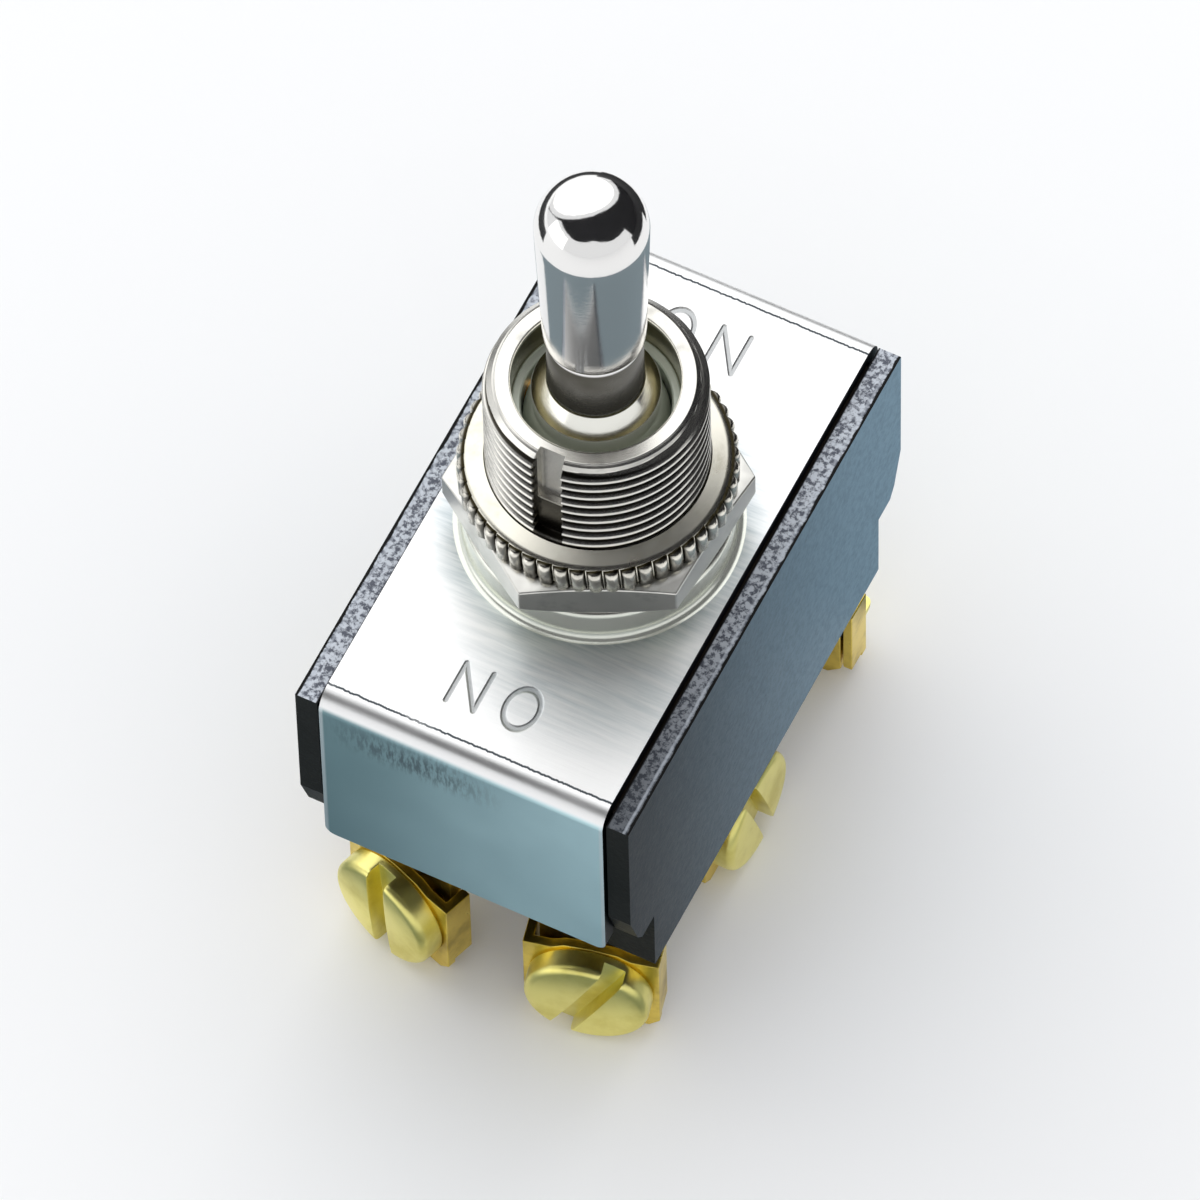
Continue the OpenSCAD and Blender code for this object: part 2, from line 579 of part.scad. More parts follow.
module screw_end(s, t, turn, slot) color([0.86, 0.72, 0.32]) translate([s * pole_x, t * plate_mid, 0])
    rotate([0, 0, (t > 0 ? 180 : 0) + turn]) screw_shape(slot);
module screw_middle(s, slot) color([0.86, 0.72, 0.32]) translate([s * side_mid, 0, 0])
    rotate([0, 0, s * 90]) screw_shape(slot);
module screw_left_near() screw_end(-1, -1, twist_near_left, 4);
module screw_left_middle() screw_middle(-1, 60);
module screw_left_far() screw_end(-1, 1, 0, 35);
module screw_right_near() screw_end(1, -1, twist_near_right, -26);
module screw_right_middle() screw_middle(1, 18);
module screw_right_far() screw_end(1, 1, 0, 80);

frame();
bushing();
seat_collar();
knurled_nut();
hex_nut();
liner();
base();
lever();
pivot_pin();
actuator();
spring_left();
spring_right();
plunger_left();
plunger_right();
rocker_left();
rocker_right();
moving_contacts_left();
moving_contacts_right();
fixed_contacts();
terminal_left_near();
terminal_left_middle();
terminal_left_far();
terminal_right_near();
terminal_right_middle();
terminal_right_far();
clamp_left_near();
clamp_left_middle();
clamp_left_far();
clamp_right_near();
clamp_right_middle();
clamp_right_far();
screw_left_near();
screw_left_middle();
screw_left_far();
screw_right_near();
screw_right_middle();
screw_right_far();
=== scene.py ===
import bpy
import bmesh
import math
from mathutils import Matrix, Vector


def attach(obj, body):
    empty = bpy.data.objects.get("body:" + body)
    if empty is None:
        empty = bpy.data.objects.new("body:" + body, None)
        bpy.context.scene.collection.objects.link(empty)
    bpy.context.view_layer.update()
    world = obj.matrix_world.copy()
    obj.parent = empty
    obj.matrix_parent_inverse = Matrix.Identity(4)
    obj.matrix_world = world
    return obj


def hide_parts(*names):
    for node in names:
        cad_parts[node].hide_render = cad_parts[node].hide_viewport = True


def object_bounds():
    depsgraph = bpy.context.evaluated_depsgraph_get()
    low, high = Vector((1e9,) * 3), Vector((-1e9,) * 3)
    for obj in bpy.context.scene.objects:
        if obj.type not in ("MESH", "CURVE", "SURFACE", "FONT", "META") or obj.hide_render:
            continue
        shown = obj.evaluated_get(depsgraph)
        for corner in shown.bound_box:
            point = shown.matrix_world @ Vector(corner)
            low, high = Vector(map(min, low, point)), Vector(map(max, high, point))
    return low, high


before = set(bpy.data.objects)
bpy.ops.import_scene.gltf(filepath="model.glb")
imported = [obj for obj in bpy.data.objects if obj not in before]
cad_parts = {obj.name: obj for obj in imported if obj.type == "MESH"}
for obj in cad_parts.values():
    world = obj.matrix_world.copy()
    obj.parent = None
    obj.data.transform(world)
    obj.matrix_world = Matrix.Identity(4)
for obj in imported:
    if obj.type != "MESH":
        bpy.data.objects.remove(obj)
cad_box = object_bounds()

MM = 0.001

# Sizes shared with the solids, in millimetres. Heights are above the frame's top face.

# frame and base
FRAME_SHEET = 0.9
FRAME_HALF = 8.3
FLAP_END = 13.5
BEND_Y = 15.25
STRIP_INNER = 8.5

# bushing
PITCH = 0.79375
THREAD_R = 5.953
THREAD_ROOT = 5.46
# share of each flank that the crest's round takes up
CREST_ROUND = 0.46
RIM_Z = 14.2
RIM_R = 5.3
MOUTH_R = 4.45
MOUTH_FLOOR = 11.9
SHOULDER_R = 7.3
SHOULDER_TOP = 2.2
SHOULDER_FOOT = 0.45
SHOULDER_EDGE = 0.35
SPIGOT_R = 6.2
LIP_R = 6.8
LIP_DEPTH = 1.3
LOWER_BORE = 5.0
LOWER_BORE_TOP = 5.0
# the keyway: half its width, the radius of its floor, and of the ledge that its lower part leaves
KEY_HALF = 0.85
KEY_FLOOR = 4.95
KEY_LEDGE = 5.3
KEY_LEDGE_Z = 9.7
KEY_BOTTOM = 6.9

# nuts
NUT_TOP = 4.6
RING_TOP = 6.75
RING_R = 7.45
TOOTH_DEPTH = 0.36
TOOTH_COUNT = 50
TOOTH_LEAN = 0.06

# lever
PIVOT_Z = 10.2
BALL_R = 3.9
BALL_GAP = 0.05
TAIL_R = 1.8
TAIL_DEPTH = 7.0
NECK_R = 2.55
SKIRT_FOOT = 13.30
SKIRT_TOP = 14.50
BAT_FOOT_Z = 18.6
BAT_FOOT_R = 2.72
BAT_FOOT_ROUND = 0.45
BAT_TOP_Z = 28.9
BAT_R = 3.0

# terminal screws
SCREW_Z = -24.3
SCREW_HEAD_R = 3.45
SCREW_HEAD_H = 1.5
# how far each head's underside stands out from the middle of its terminal
SCREW_OUT = 1.4

# stamped words
WORD_Y = 12.2
WORD_HEIGHT = 2.5


# ---------------------------------------------------------------- shader maths

class Value:
    """A shader socket that can be used in ordinary arithmetic."""

    def __init__(self, tree, socket):
        self.tree = tree
        self.socket = socket

    def _math(self, operation, *others):
        sockets = {0: self, **{i + 1: v for i, v in enumerate(others)}}
        return self.tree.node("ShaderNodeMath", {"operation": operation}, sockets)

    def __add__(self, other):
        return self._math("ADD", other)

    __radd__ = __add__

    def __sub__(self, other):
        return self._math("SUBTRACT", other)

    def __rsub__(self, other):
        return self.tree.node("ShaderNodeMath", {"operation": "SUBTRACT"}, {0: other, 1: self})

    def __mul__(self, other):
        return self._math("MULTIPLY", other)

    __rmul__ = __mul__

    def __truediv__(self, other):
        return self._math("DIVIDE", other)

    def __pow__(self, other):
        return self._math("POWER", other)

    def least(self, other):
        return self._math("MINIMUM", other)

    def most(self, other):
        return self._math("MAXIMUM", other)

    def size(self):
        return self._math("ABSOLUTE")

    def clipped(self):
        return self.tree.node("ShaderNodeClamp", {}, {"Value": self})

    def between(self, low, high):
        """0 below low, 1 above high, smooth between."""
        return self.tree.node("ShaderNodeMapRange", {"interpolation_type": "SMOOTHSTEP"},
                              {"Value": self, "From Min": low, "From Max": high})

    def fading(self, low, high):
        """1 below low, 0 above high, smooth between."""
        return 1.0 - self.between(low, high)


class Finish:
    """A material and its node tree, with its Principled shader ready to be fed."""

    def __init__(self, name, color=(0.5, 0.5, 0.5), **sockets):
        self.material = bpy.data.materials.new(name)
        self.material.use_nodes = True
        self.material.diffuse_color = (*color, 1)
        self.nodes = self.material.node_tree.nodes
        self.links = self.material.node_tree.links
        self.shader = self.nodes["Principled BSDF"]
        self.shader.inputs["Base Color"].default_value = (*color, 1)
        for label, value in sockets.items():
            self.shader.inputs[label.replace("_", " ")].default_value = value
        self.place = self.node("ShaderNodeTexCoord", {}, {}, "Object")

    def node(self, kind, settings, sockets, output=0):
        made = self.nodes.new(kind)
        for label, value in settings.items():
            setattr(made, label, value)
        for label, value in sockets.items():
            if isinstance(value, Value):
                self.links.new(value.socket, made.inputs[label])
            elif value is not None:
                made.inputs[label].default_value = value
        return Value(self, made.outputs[output])

    def feed(self, label, value):
        self.links.new(value.socket, self.shader.inputs[label])

    def axes(self):
        """X, Y and Z of the surface point, in millimetres."""
        scaled = self.node("ShaderNodeVectorMath", {"operation": "SCALE"}, {0: self.place, "Scale": 1000.0})
        split = self.node("ShaderNodeSeparateXYZ", {}, {0: scaled})
        outputs = split.socket.node.outputs
        return Value(self, outputs[0]), Value(self, outputs[1]), Value(self, outputs[2])

    def stretched(self, scale):
        return self.node("ShaderNodeVectorMath", {"operation": "MULTIPLY"}, {0: self.place, 1: scale})

    def noise(self, scale, detail=3.0, roughness=0.5, vector=None):
        return self.node("ShaderNodeTexNoise", {}, {
            "Vector": vector or self.place,
            "Scale": scale,
            "Detail": detail,
            "Roughness": roughness,
        })

    def mixed(self, factor, first, second):
        tones = [tone if isinstance(tone, Value) else (*tone, 1) for tone in (first, second)]
        return self.node("ShaderNodeMix", {"data_type": "RGBA"}, {0: factor, 6: tones[0], 7: tones[1]}, 2)

    def facing(self, axis):
        """How far the surface faces along one of the object's axes, from 0 to 1."""
        normal = self.node("ShaderNodeNewGeometry", {}, {}, "Normal")
        split = self.node("ShaderNodeSeparateXYZ", {}, {0: normal})
        return Value(self, split.socket.node.outputs[axis]).size()

    def bumped(self, height, distance, strength):
        sockets = {"Height": height, "Distance": distance, "Strength": strength}
        self.feed("Normal", self.node("ShaderNodeBump", {}, sockets, "Normal"))


def reach(x, y):
    """Distance from the middle of a plane to a point in it."""
    return (x * x + y * y) ** 0.5


def stroke(x, y, start, end):
    """Distance in the plane from the surface point to a straight stroke."""
    dx, dy = end[0] - start[0], end[1] - start[1]
    px, py = x - start[0], y - start[1]
    along = ((px * dx + py * dy) / (dx * dx + dy * dy)).clipped()
    return reach(px - along * dx, py - along * dy)


def ring_stroke(x, y, centre, half_width, half_height):
    """Distance in the plane to an oval stroke."""
    px, py = (x - centre[0]) / half_width, (y - centre[1]) / half_height
    return (reach(px, py) - 1.0).size() * min(half_width, half_height)


def word_on(x, y, centre, turn, height):
    """Distance to the stamped word ON, centred on a point and turned a half turn or not."""
    u, v = (x - centre[0]) * turn, (y - centre[1]) * turn
    half = height / 2
    first_leg, last_leg = 0.28 * height, 0.92 * height
    letter_o = ring_stroke(u, v, (-0.62 * height, 0), 0.36 * height, half)
    left = stroke(u, v, (first_leg, -half), (first_leg, half))
    slant = stroke(u, v, (first_leg, half), (last_leg, -half))
    right = stroke(u, v, (last_leg, -half), (last_leg, half))
    return letter_o.least(left).least(slant).least(right)


# ------------------------------------------------------------------ finishes

def top_tone(f, x, y, streak):
    """The plate's top: pale zinc, with painted shade in a blue-grey patch near one end and in a ring round
    the bushing.
    """
    # painted shade: a patch near one end and a ring round the bushing, broken by the streaks
    end_patch_shade = reach((x - 3.5) / 7.5, (y + 8.5) / 5.0).fading(0.35, 1.25)
    ring_shade = reach(x, y).fading(7.6, 10.0)
    shade = (end_patch_shade * 0.62).most(ring_shade * 0.8) * (streak.between(0.25, 0.75) * 0.6 + 0.4)
    return f.mixed(shade, (0.95, 0.95, 0.94), (0.34, 0.42, 0.45))


def flap_tone(f, x, depth, cross):
    """The end flaps: a painted blue-grey reflection, paler towards one side, with a dark patch under the
    bend.
    """
    # painted reflection: the flaps' blue-grey, paler towards one side
    lower = depth.between(1.0, FLAP_END)
    across = (x + lower * 3.0).between(-9.0, 10.0)
    tone = f.mixed(across, (0.24, 0.38, 0.41), (0.70, 0.95, 1.0))
    side_fade = (x + 3.0).size().fading(1.0, 6.0)
    band = (depth - 2.5).size().fading(0.2, 1.9)
    dark_patch = band * side_fade * cross.between(0.40, 0.62) * 0.75
    return f.mixed(dark_patch, tone, (0.10, 0.13, 0.15))


def plated_frame():
    f = Finish("frame_zinc", (0.86, 0.88, 0.91), Metallic=1.0, Roughness=0.3)
    x, y, z = f.axes()
    depth = z * -1.0
    upright = f.facing(2).fading(0.12, 0.45)
    streak = f.noise(26.0, 4.0, 0.6, f.stretched((9.0, 120.0, 9.0)))
    cross = f.noise(30.0, 3.0, 0.6, f.stretched((140.0, 8.0, 30.0)))
    cloud = f.noise(170.0, 3.0, 0.55)

    # painted shade: a broken dark line where the top turns into the bend
    broken = (y.size() - BEND_Y + (cross - 0.5) * 0.18).size()
    crease_shade = broken.fading(0.03, 0.10) * depth.fading(0.15, 0.5) * streak.between(0.15, 0.45)
    far_word = word_on(x, y, (0.0, WORD_Y), 1.0, WORD_HEIGHT)
    near_word = word_on(x, y, (0.0, -WORD_Y), -1.0, WORD_HEIGHT)
    groove = far_word.least(near_word).fading(0.05, 0.17) * (1.0 - upright)
    # painted highlight: a pale line down the flaps' side edges
    lip = upright * x.size().between(FRAME_HALF - 0.28, FRAME_HALF - 0.14) * 0.55
    # the cut edges: bare sheared steel, darkened to near black with painted shade
    sheared_and_shaded = f.facing(0).between(0.6, 0.85)

    # upright faces take the flaps' painted reflection in place of the top's zinc
    faces = f.mixed(upright, top_tone(f, x, y, streak), flap_tone(f, x, depth, cross))
    # painted shade darkens the stamped letters' grooves
    stamped = f.mixed(groove * 0.45, faces, (0.20, 0.23, 0.24))
    crease_shaded = f.mixed(crease_shade, stamped, (0.05, 0.06, 0.07))
    edge_highlighted = f.mixed(lip, crease_shaded, (0.95, 0.99, 1.0))
    f.feed("Base Color", f.mixed(sheared_and_shaded, edge_highlighted, (0.020, 0.022, 0.024)))
    f.feed("Roughness", streak * 0.14 + cloud * 0.10 + 0.25 + upright * 0.06 + groove * 0.2)
    f.bumped(streak * 0.10 + cross * 0.06 + cloud * 0.05 - groove * 1.6, 0.00010, 0.6)
    return f.material


def nickel(name, tone, rough):
    """Nickel plate before its colour is set: its finish, its cloudiness and how much the clouds wear it."""
    f = Finish(name, tone, Metallic=1.0, Roughness=rough)
    cloud = f.noise(320.0, 4.0, 0.6)
    fine = f.noise(1500.0, 2.0, 0.5)
    f.feed("Roughness", cloud * 0.12 + fine * 0.06 + (rough - 0.08))
    f.bumped(cloud * 0.5 + fine * 0.2, 0.00004, 0.25)
    return f, cloud, cloud.between(0.50, 0.72) * 0.35


def bushing_nickel():
    """Painted shade in the thread's grooves, the mouth and the keyway's foot, and satin on the shoulder."""
    tone = (0.84, 0.82, 0.76)
    f, cloud, wear_and_shade = nickel("bushing_nickel", tone, 0.24)
    x, y, z = f.axes()
    out = reach(x, y)
    off_key = out.between(KEY_LEDGE + 0.06, KEY_LEDGE + 0.10)
    on_thread = off_key * z.fading(RIM_Z - 0.60, RIM_Z - 0.52)
    # painted shade in the thread's grooves
    grooves = out.fading(THREAD_R - 0.23, THREAD_R - 0.10) * on_thread
    in_mouth = out.fading(MOUTH_R + 0.02, MOUTH_R + 0.15) * z.fading(RIM_Z - 0.5, RIM_Z - 0.15)
    dull = in_mouth * z.fading(MOUTH_FLOOR + 0.02, MOUTH_FLOOR + 0.12)
    in_key = (1.0 - off_key) * out.between(MOUTH_R + 0.45, MOUTH_R + 0.5)
    # painted shade at the keyway's foot
    key_foot = in_key * z.fading(KEY_LEDGE_Z - 0.15, KEY_LEDGE_Z - 0.05)
    # the painted shade of the grooves, the mouth and the keyway's foot joins the clouds' wear
    wear_and_shade = wear_and_shade.most(grooves * 0.97).most(in_mouth * 0.80).most(key_foot * 0.95)
    satin = z.fading(SHOULDER_TOP - 0.15, SHOULDER_TOP - 0.02)

    plate = f.mixed(wear_and_shade, tone, (0.020, 0.016, 0.008))
    # painted shade on the mouth's wall
    mouth_wall = f.mixed(cloud.between(0.35, 0.7), (0.24, 0.21, 0.12), (0.13, 0.11, 0.06))
    walled = f.mixed(in_mouth, plate, mouth_wall)
    floored = f.mixed(dull, walled, (0.62, 0.66, 0.57))
    f.feed("Base Color", f.mixed(satin, floored, (0.84, 0.86, 0.77)))
    f.feed("Metallic", 1.0 - dull * 0.7 - satin * 0.25)
    return f.material


def nut_nickel():
    """Painted shade, a little darker, on the hex nut's upright flats."""
    tone = (0.82, 0.81, 0.76)
    f, _, wear_and_shade = nickel("nut_nickel", tone, 0.30)
    # painted shade on the upright flats
    flats = f.facing(2).fading(0.15, 0.4) * 0.10
    f.feed("Base Color", f.mixed(wear_and_shade.most(flats), tone, (0.16, 0.17, 0.15)))
    return f.material


def ring_nickel():
    """The ring nut's sloping band."""
    tone = (0.86, 0.83, 0.72)
    f, _, wear_and_shade = nickel("ring_nickel", tone, 0.24)
    f.feed("Base Color", f.mixed(wear_and_shade, tone, (0.40, 0.35, 0.22)))
    return f.material


def knurl_nickel():
    """Painted shade between the teeth, which stand out past the ring's body."""
    tone = (0.86, 0.83, 0.74)
    f, _, wear_and_shade = nickel("knurl_nickel", tone, 0.24)
    x, y, _ = f.axes()
    # painted shade between the teeth
    between_teeth = reach(x, y).fading(RING_R - 0.32, RING_R - 0.06)
    f.feed("Base Color", f.mixed(wear_and_shade.most(between_teeth), tone, (0.030, 0.025, 0.012)))
    return f.material


def bright_lever():
    """Mirror plate on the bat, a neck painted dark as a reflection, and a dull ball in the mouth."""
    f = Finish("lever_bright_nickel", (0.86, 0.85, 0.83), Metallic=1.0, Roughness=0.07)
    cloud = f.noise(260.0, 3.0, 0.5)
    scratch = f.noise(60.0, 3.0, 0.6, f.stretched((30.0, 30.0, 160.0)))
    z = f.axes()[2]
    low = z.fading(SKIRT_TOP, SKIRT_TOP + 0.12)
    ball = z.fading(SKIRT_FOOT, SKIRT_FOOT + 0.15)
    neck_middle = (SKIRT_TOP + BAT_FOOT_Z) / 2
    # painted reflection: the neck painted near black
    neck = (z - neck_middle).size().fading(1.80, 2.00) * (cloud * 0.3 + 0.75)
    body = f.mixed(neck, (0.88, 0.87, 0.85), (0.024, 0.019, 0.004))
    skirt = f.mixed(ball, (0.97, 0.96, 0.88), (0.68, 0.72, 0.61))
    f.feed("Base Color", f.mixed(low, body, skirt))
    f.feed("Metallic", 1.0 - ball * 0.75 - neck * 0.3)
    f.feed("Roughness", cloud * 0.05 + scratch * 0.04 + 0.035 + neck * 0.22 + low * 0.10 + ball * 0.2)
    f.bumped(scratch * 0.4 + cloud * 0.3, 0.00003, 0.2)
    return f.material


def dipped_brass(name, tone, deep, rough):
    f = Finish(name, tone, Metallic=1.0, Roughness=rough)
    cloud = f.noise(300.0, 4.0, 0.6)
    fine = f.noise(1400.0, 3.0, 0.6)
    f.feed("Base Color", f.mixed(cloud.between(0.40, 0.72), tone, deep))
    f.feed("Roughness", cloud * 0.16 + fine * 0.08 + (rough - 0.1))
    f.bumped(cloud * 0.6 + fine * 0.3, 0.00006, 0.5)
    return f.material


def phenolic():
    """A painted blue-grey sheen on the sides, near-black ends, and strips on top that are flecked with pale
    dust under painted light.
    """
    f = Finish("base_phenolic", (0.055, 0.062, 0.075), Roughness=0.42, Specular_IOR_Level=0.14)
    x, y, _ = f.axes()
    cloud = f.noise(220.0, 4.0, 0.6)
    grain = f.noise(2600.0, 3.0, 0.7)
    fleck = f.noise(3100.0, 3.0, 0.7)
    chip = f.noise(900.0, 3.0, 0.7)
    top = f.facing(2).between(0.5, 0.9)
    side = f.facing(0).between(0.5, 0.9)

    ends = f.mixed(cloud.between(0.35, 0.7), (0.004, 0.005, 0.004), (0.009, 0.010, 0.009))
    # painted sheen: the sides' blue-grey, dark near and paler far
    painted_side_gradient = f.mixed((y + 2.0).between(-16.0, 20.0), (0.022, 0.028, 0.034), (0.190, 0.300, 0.385))
    grained = f.mixed(grain.between(0.35, 0.75) * 0.25, painted_side_gradient, (0.02, 0.03, 0.04))
    sided = f.mixed(side, ends, grained)

    # painted light: the strips' pale flecks grow towards the far left and fade to dark near the right
    painted_top_gradient = (y - x * 1.6).between(-34.0, 0.0) * 0.85 + 0.15
    flecked = f.mixed(fleck.between(0.40, 0.58), (0.11, 0.12, 0.15), (0.62, 0.66, 0.72))
    strip = f.mixed(painted_top_gradient, (0.020, 0.024, 0.030), flecked)
    out = x.size()
    ridge = (out - 9.46 + (chip - 0.5) * 0.10).size().fading(0.03, 0.11) * (fleck * 0.5 + 0.25)
    ridged = f.mixed(ridge, strip, (0.50, 0.54, 0.60))
    ragged_edge = (out + (chip - 0.5) * 0.30).between(9.57, 9.62)
    # painted shade in the gap beside the frame; with the ragged outer edge it goes near black
    gap = out.fading(STRIP_INNER, STRIP_INNER + 0.08)
    topped = f.mixed(ragged_edge.most(gap), ridged, (0.002, 0.002, 0.002))

    f.feed("Base Color", f.mixed(top, sided, topped))
    f.feed("Roughness", grain * 0.15 + cloud * 0.1 + 0.34)
    f.bumped(grain * 0.7 + fleck * 0.6, 0.00005, 0.5)
    return f.material


def moulded(name, tone, deep, rough):
    f = Finish(name, tone, Roughness=rough)
    cloud = f.noise(260.0, 3.0, 0.6)
    grain = f.noise(1800.0, 2.0, 0.5)
    f.feed("Base Color", f.mixed(cloud.between(0.35, 0.7), tone, deep))
    f.feed("Roughness", grain * 0.12 + (rough - 0.06))
    f.bumped(grain, 0.00003, 0.3)
    return f.material


def plain_metal(name, tone, deep, rough):
    f = Finish(name, tone, Metallic=1.0, Roughness=rough)
    cloud = f.noise(400.0, 3.0, 0.6)
    f.feed("Base Color", f.mixed(cloud.between(0.4, 0.75), tone, deep))
    f.feed("Roughness", cloud * 0.15 + (rough - 0.07))
    f.bumped(cloud, 0.00003, 0.3)
    return f.material


ZINC = plated_frame()
BUSHING_NICKEL = bushing_nickel()
NUT_NICKEL = nut_nickel()
RING_NICKEL = ring_nickel()
KNURL_NICKEL = knurl_nickel()
BRIGHT = bright_lever()
BRASS = dipped_brass("terminal_brass", (0.86, 0.66, 0.13), (0.46, 0.33, 0.05), 0.28)
SCREW_BRASS = dipped_brass("screw_brass", (0.95, 0.87, 0.30), (0.76, 0.67, 0.18), 0.34)
PHENOLIC = phenolic()
FIBRE = moulded("liner_fibre", (0.16, 0.12, 0.09), (0.09, 0.07, 0.05), 0.7)
NYLON = moulded("yoke_nylon", (0.70, 0.66, 0.55), (0.60, 0.55, 0.44), 0.45)
STEEL = plain_metal("plain_steel", (0.56, 0.60, 0.64), (0.40, 0.43, 0.46), 0.35)
WIRE = plain_metal("spring_wire", (0.60, 0.60, 0.60), (0.40, 0.40, 0.40), 0.3)
COPPER = plain_metal("rocker_copper", (0.72, 0.42, 0.22), (0.50, 0.27, 0.13), 0.3)
SILVER = plain_metal("contact_silver", (0.88, 0.87, 0.84), (0.66, 0.65, 0.60), 0.3)
PIN_BRASS = plain_metal("pin_brass", (0.80, 0.50, 0.20), (0.55, 0.33, 0.12), 0.3)


# ------------------------------------------------------------------ making meshes

def finish_mesh(name, bm, material, sharp=35.0):
    """Turns a bmesh into an object with its normals outward and its sharp edges kept sharp."""
    bmesh.ops.remove_doubles(bm, verts=bm.verts, dist=1e-8)
    bmesh.ops.recalc_face_normals(bm, faces=bm.faces)
    mesh = bpy.data.meshes.new(name)
    bm.to_mesh(mesh)
    bm.free()
    mesh.shade_smooth()
    mesh.set_sharp_from_angle(angle=math.radians(sharp))
    mesh.materials.append(material)
    made = bpy.data.objects.new(name, mesh)
    bpy.context.scene.collection.objects.link(made)
    return made


def lathe(profile, angles, radius=None):
    """Turns a closed outline of (radius, height) points round Z.

    radius(r, z, angle), where it is given, says how far out each point ends up."""
    bm = bmesh.new()
    rows = []
    for angle in angles:
        c, s = math.cos(angle), math.sin(angle)
        row = []
        for r, z in profile:
            out = radius(r, z, angle) if radius else r
            row.append(bm.verts.new((out * c * MM, out * s * MM, z * MM)))
        rows.append(row)
    count = len(profile)
    for i in range(len(rows)):
        first, second = rows[i], rows[(i + 1) % len(rows)]
        for j in range(count):
            k = (j + 1) % count
            if profile[j][0] == 0 and profile[k][0] == 0:
                continue
            corners = [first[j], second[j], second[k], first[k]]
            if profile[j][0] == 0:
                corners = [first[j], second[k], first[k]]
            if profile[k][0] == 0:
                corners = [first[j], second[j], first[k]]
            bm.faces.new(corners)
    return bm


def even_angles(count):
    return [2 * math.pi * i / count for i in range(count)]


def even_rows(r, low, high, steps):
    """Points up an upright line of the outline."""
    return [(r, low + (high - low) * i / steps) for i in range(steps + 1)]


def arc(cr, cz, r, start, end, steps):
    """Points of a round from one angle to another, in degrees, in the outline's plane."""
    found = []
    for i in range(steps + 1):
        a = math.radians(start + (end - start) * i / steps)
        found.append((cr + r * math.cos(a), cz + r * math.sin(a)))
    return found


def settled(piece):
    """The plain mesh that a piece's modifiers make of it."""
    graph = bpy.context.evaluated_depsgraph_get()
    return bpy.data.meshes.new_from_object(piece.evaluated_get(graph))


# ------------------------------------------------------------------ threaded bushing

def thread_radius(z, angle):
    """Radius of the cut thread at a height and angle: straight flanks, a flat root and a rounded crest."""
    turn = (z / PITCH - angle / (2 * math.pi)) % 1.0
    climb = abs(turn - 0.5) * 2
    root_flat = 0.08
    level = min(max((climb - root_flat) / (1.0 - root_flat), 0.0), 1.0)
    past = max(level - (1.0 - CREST_ROUND), 0.0) / CREST_ROUND
    level -= past * past * CREST_ROUND / 2
    return THREAD_ROOT + (THREAD_R - THREAD_ROOT) * level / (1.0 - CREST_ROUND / 2)


def bushing_outline(thread_low, thread_high):
    """The turned outline, from the staked lip up the outside, over the rim and down the mouth and bore."""
    outline = [(LOWER_BORE, -LIP_DEPTH), (LIP_R, -LIP_DEPTH), (LIP_R, -FRAME_SHEET)]
    outline += [(SPIGOT_R, -FRAME_SHEET), (SPIGOT_R, 0.0), (SHOULDER_R + SHOULDER_FOOT, 0.0)]
    outline += arc(SHOULDER_R + SHOULDER_FOOT, SHOULDER_FOOT, SHOULDER_FOOT, -90, -180, 6)[1:]
    outline += arc(SHOULDER_R - SHOULDER_EDGE, SHOULDER_TOP - SHOULDER_EDGE, SHOULDER_EDGE, 0, 90, 6)
    outline += [(THREAD_R + 0.02, SHOULDER_TOP)]

    # few rows where the nuts hide the thread, many where it shows
    covered = RING_TOP - 0.5
    hidden_rows, shown_rows = 44, 264
    outline += even_rows(THREAD_R, thread_low, covered, hidden_rows)[:-1]
    outline += even_rows(THREAD_R, covered, thread_high, shown_rows)

    rim_round, mouth_round = 0.1, 0.15
    outline += arc(RIM_R - rim_round, RIM_Z - rim_round, rim_round, 20, 90, 3)
    outline += [(RIM_R - 0.12, RIM_Z), (MOUTH_R + 0.17, RIM_Z)]
    outline += arc(MOUTH_R + mouth_round, RIM_Z - mouth_round, mouth_round, 90, 180, 4)
    outline += [(MOUTH_R, MOUTH_FLOOR + 0.1), (MOUTH_R - 0.1, MOUTH_FLOOR)]
    outline += [(BALL_R + 0.13, MOUTH_FLOOR), (BALL_R + BALL_GAP, MOUTH_FLOOR - 0.08)]
    outline += [(BALL_R + BALL_GAP, 7.6), (MOUTH_R, 7.2)]
    outline += [(MOUTH_R, LOWER_BORE_TOP), (LOWER_BORE, LOWER_BORE_TOP)]
    return outline


def make_bushing():
    key_angle = -math.pi / 2
    half = math.asin(KEY_HALF / THREAD_R)
    inside_steps, outside_steps = 10, 200
    inside = [key_angle + half * (2 * k / inside_steps - 1) for k in range(inside_steps + 1)]
    rest_span = 2 * math.pi - 2 * half
    outside = [key_angle + half + rest_span * k / outside_steps for k in range(outside_steps + 1)]
    # the keyway's two walls stand upright between these columns
    wall_step = 0.0008
    outside[0] += wall_step
    outside[-1] -= wall_step
    thread_low, thread_high = SHOULDER_TOP + 0.02, RIM_Z - 0.12
    rim_slope = 0.92
    near = 1e-6

    def radius(r, z, angle):
        """Cuts the thread, its chamfer under the rim and the stepped keyway into the turned outline."""
        if r < RIM_R - 0.12 or z < thread_low - near:
            return r
        if z <= thread_high + near and THREAD_R - near <= r < THREAD_R + 0.01:
            r = min(thread_radius(z, angle), RIM_R + (RIM_Z - z) * rim_slope)
        if z > KEY_BOTTOM and abs(math.remainder(angle - key_angle, 2 * math.pi)) <= half + near:
            floor_r = KEY_FLOOR if z > KEY_LEDGE_Z else KEY_LEDGE
            r = min(r, floor_r / math.cos(angle - key_angle))
        return r

    outline = bushing_outline(thread_low, thread_high)
    return finish_mesh("bushing_threaded", lathe(outline, inside + outside, radius), BUSHING_NICKEL, 40.0)


bushing = make_bushing()
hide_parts("bushing")
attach(bushing, "switch")


# ------------------------------------------------------------------ bat lever

